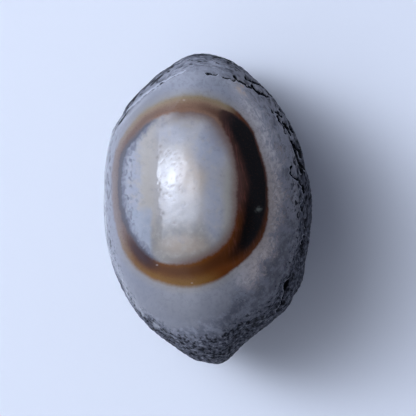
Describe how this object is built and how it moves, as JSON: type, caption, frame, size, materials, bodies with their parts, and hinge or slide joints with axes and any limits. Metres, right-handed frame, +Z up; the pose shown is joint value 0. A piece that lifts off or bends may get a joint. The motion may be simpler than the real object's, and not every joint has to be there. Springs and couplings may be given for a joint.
{
  "type": "eye agate",
  "caption": "Almond-shaped eye agate pebble: a polished dome over a banded eye, rough weathered rind on its flanks and underside, and a small ground flat it rests on",
  "frame": {"origin": "the centre of the underside of the bounding box, on the table that the ground flat rests on", "axes": "+Y along the pebble, towards the blunter end; +X across it, towards the flank with the most rind; +Z up, out of the polished crown and its eye"},
  "size_m": [0.0202, 0.03, 0.0163],
  "materials": {
    "agate": "banded chalcedony, polished on the crown and weathered on the rind"
  },
  "bodies": {
    "root": {"stone": "agate"}
  },
  "joints": []
}
